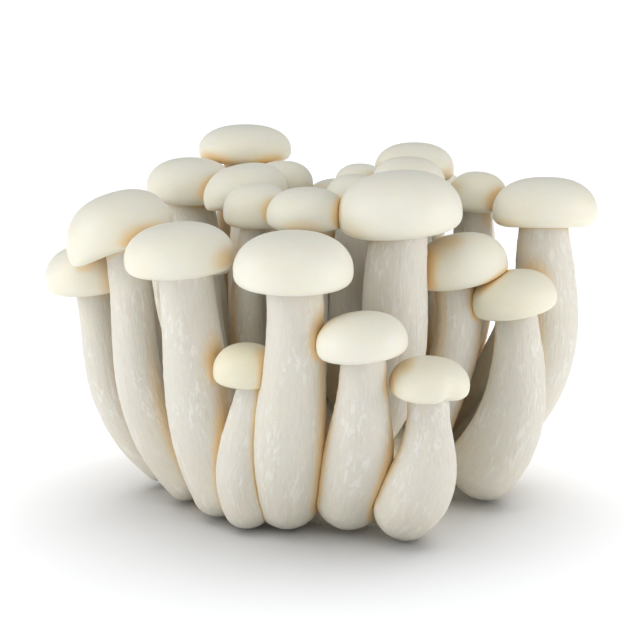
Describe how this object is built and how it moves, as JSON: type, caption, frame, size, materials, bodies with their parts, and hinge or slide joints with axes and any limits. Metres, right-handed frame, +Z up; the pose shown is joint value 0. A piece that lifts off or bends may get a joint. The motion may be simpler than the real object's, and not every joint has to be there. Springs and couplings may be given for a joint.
{
  "type": "shimeji mushroom bunch",
  "caption": "Bunch of small white mushrooms with round caps on pale fibrous stems, grown together from one shared foot and standing on its flat cut face.",
  "frame": {"origin": "middle of the flat cut face that the bunch stands on", "axes": "+Z up, -Y towards the side seen in the picture, +X to that side's right"},
  "size_m": [0.1114, 0.0966, 0.071],
  "materials": {
    "mushroom_flesh": "satin cream-white caps, paler fibrous stems",
    "cut_foot": "dry cut tissue, matt"
  },
  "bodies": {
    "root": {"mushroom_01": "mushroom_flesh", "mushroom_02": "mushroom_flesh", "mushroom_03": "mushroom_flesh", "mushroom_04": "mushroom_flesh", "mushroom_05": "mushroom_flesh", "mushroom_06": "mushroom_flesh", "mushroom_07": "mushroom_flesh", "mushroom_08": "mushroom_flesh", "mushroom_09": "mushroom_flesh", "mushroom_10": "mushroom_flesh", "mushroom_11": "mushroom_flesh", "mushroom_12": "mushroom_flesh", "mushroom_13": "mushroom_flesh", "mushroom_14": "mushroom_flesh", "mushroom_15": "mushroom_flesh", "mushroom_16": "mushroom_flesh", "mushroom_17": "mushroom_flesh", "mushroom_18": "mushroom_flesh", "mushroom_19": "mushroom_flesh", "mushroom_20": "mushroom_flesh", "mushroom_21": "mushroom_flesh", "mushroom_22": "mushroom_flesh", "mushroom_23": "mushroom_flesh", "mushroom_24": "mushroom_flesh", "mushroom_25": "mushroom_flesh", "mushroom_26": "mushroom_flesh", "mushroom_27": "mushroom_flesh", "mushroom_28": "mushroom_flesh", "mushroom_29": "mushroom_flesh", "mushroom_30": "mushroom_flesh", "mushroom_31": "mushroom_flesh", "mushroom_32": "mushroom_flesh", "mushroom_33": "mushroom_flesh", "mushroom_34": "mushroom_flesh", "shared_foot": "cut_foot"}
  },
  "joints": []
}
